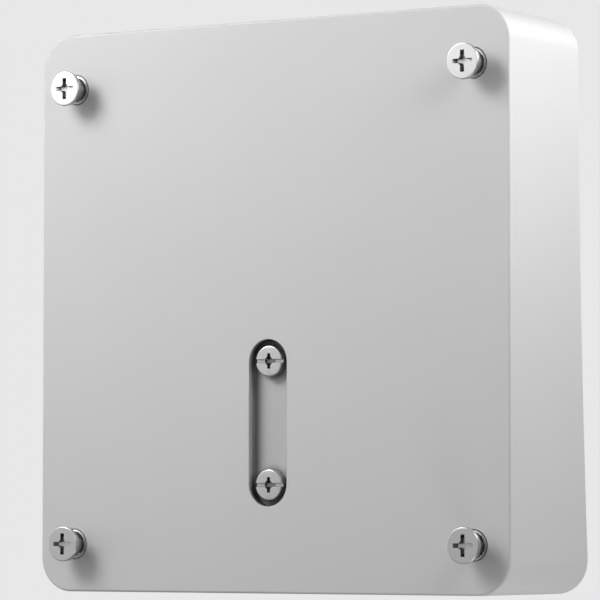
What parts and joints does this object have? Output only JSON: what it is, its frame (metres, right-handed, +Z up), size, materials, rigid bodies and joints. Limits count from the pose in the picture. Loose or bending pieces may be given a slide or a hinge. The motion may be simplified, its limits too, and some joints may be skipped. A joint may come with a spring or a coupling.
{
  "type": "wireless access point",
  "caption": "Square aluminium wireless access point with a plastic radome; captive studs on its back face hang on a keyhole bracket and clamp it.",
  "frame": {"origin": "centre of the four keyhole studs, on the plane of the back face", "axes": "+Y from the back face into the body and out to the room; +Z up when the unit hangs on a wall; +X to the right as seen from behind"},
  "size_m": [0.125, 0.0415, 0.13],
  "materials": {
    "anodised_aluminium": "fine-blasted and clear-anodised, satin",
    "nickel_steel": "nickel-plated, satin",
    "spring_steel": "phosphated spring steel",
    "white_plastic": "fine-textured white polycarbonate",
    "silicone": "grey silicone",
    "clear_plastic": "clear moulded light guide",
    "bare_aluminium": "stamped plate, mill finish",
    "brass_metal": "turned brass",
    "board_laminate": "green solder mask",
    "black_plastic": "moulded epoxy or nylon, matt",
    "thermal_rubber": "soft filled silicone pad",
    "tinned_steel": "tin-plated sheet",
    "gold_plate": "gold-plated spring wire",
    "ferrite": "sintered ferrite, matt",
    "copper_wire": "enamelled copper wire",
    "capacitor_sleeve": "shrink sleeve",
    "grey_plastic": "moulded grey plastic"
  },
  "bodies": {
    "body": {"housing": "anodised_aluminium", "threaded_inserts": "nickel_steel", "chassis_screws": "nickel_steel", "front_cover": "white_plastic", "cover_gasket": "silicone", "cover_screws": "nickel_steel", "light_guide": "clear_plastic", "chassis": "bare_aluminium", "board_standoffs": "brass_metal", "board_screws": "nickel_steel", "main_board": "board_laminate", "processor": "black_plastic", "radio_chips": "black_plastic", "memory_chips": "black_plastic", "thermal_pads": "thermal_rubber", "shield_cans": "tinned_steel", "antenna_1": "tinned_steel", "antenna_2": "tinned_steel", "antenna_3": "tinned_steel", "antenna_4": "tinned_steel", "ethernet_jack": "tinned_steel", "jack_insert": "black_plastic", "jack_contacts": "gold_plate", "lan_magnetics": "black_plastic", "transformer_core": "ferrite", "transformer_coil": "copper_wire", "power_inductors": "ferrite", "power_capacitors": "capacitor_sleeve", "status_led": "white_plastic", "reset_switch": "black_plastic"},
    "stud_1_screw": {"mount_screw_1": "nickel_steel"},
    "stud_2_screw": {"mount_screw_2": "nickel_steel"},
    "stud_3_screw": {"mount_screw_3": "nickel_steel"},
    "stud_4_screw": {"mount_screw_4": "nickel_steel"},
    "stud_1_clip": {"screw_clip_1": "spring_steel"},
    "stud_2_clip": {"screw_clip_2": "spring_steel"},
    "stud_3_clip": {"screw_clip_3": "spring_steel"},
    "stud_4_clip": {"screw_clip_4": "spring_steel"},
    "reset_button": {"reset_button": "grey_plastic", "switch_plunger": "black_plastic"}
  },
  "joints": [
    {"name": "stud_1_travel", "type": "slide", "parent": "body", "child": "stud_1_clip", "axis": [0, 1, 0], "range_m": [0, 0.0028]},
    {"name": "stud_1_turn", "type": "hinge", "parent": "stud_1_clip", "child": "stud_1_screw", "pos_m": [-0.05325, 0, 0.053], "axis": [0, 1, 0], "range_deg": [0, 1440]},
    {"name": "stud_2_travel", "type": "slide", "parent": "body", "child": "stud_2_clip", "axis": [0, 1, 0], "range_m": [0, 0.0028]},
    {"name": "stud_2_turn", "type": "hinge", "parent": "stud_2_clip", "child": "stud_2_screw", "pos_m": [0.05325, 0, 0.053], "axis": [0, 1, 0], "range_deg": [0, 1440]},
    {"name": "stud_3_travel", "type": "slide", "parent": "body", "child": "stud_3_clip", "axis": [0, 1, 0], "range_m": [0, 0.0028]},
    {"name": "stud_3_turn", "type": "hinge", "parent": "stud_3_clip", "child": "stud_3_screw", "pos_m": [0.05325, 0, -0.053], "axis": [0, 1, 0], "range_deg": [0, 1440]},
    {"name": "stud_4_travel", "type": "slide", "parent": "body", "child": "stud_4_clip", "axis": [0, 1, 0], "range_m": [0, 0.0028]},
    {"name": "stud_4_turn", "type": "hinge", "parent": "stud_4_clip", "child": "stud_4_screw", "pos_m": [-0.05325, 0, -0.053], "axis": [0, 1, 0], "range_deg": [0, 1440]},
    {"name": "reset_press", "type": "slide", "parent": "body", "child": "reset_button", "axis": [0, 0, 1], "range_m": [0, 0.0006], "stiffness_N_per_m": 1500, "springref_m": -0.0002}
  ],
  "couplings": [
    {"joint": "stud_1_turn", "follows": "stud_1_travel", "rad_per_m": 8975.9},
    {"joint": "stud_2_turn", "follows": "stud_2_travel", "rad_per_m": 8975.9},
    {"joint": "stud_3_turn", "follows": "stud_3_travel", "rad_per_m": 8975.9},
    {"joint": "stud_4_turn", "follows": "stud_4_travel", "rad_per_m": 8975.9}
  ]
}
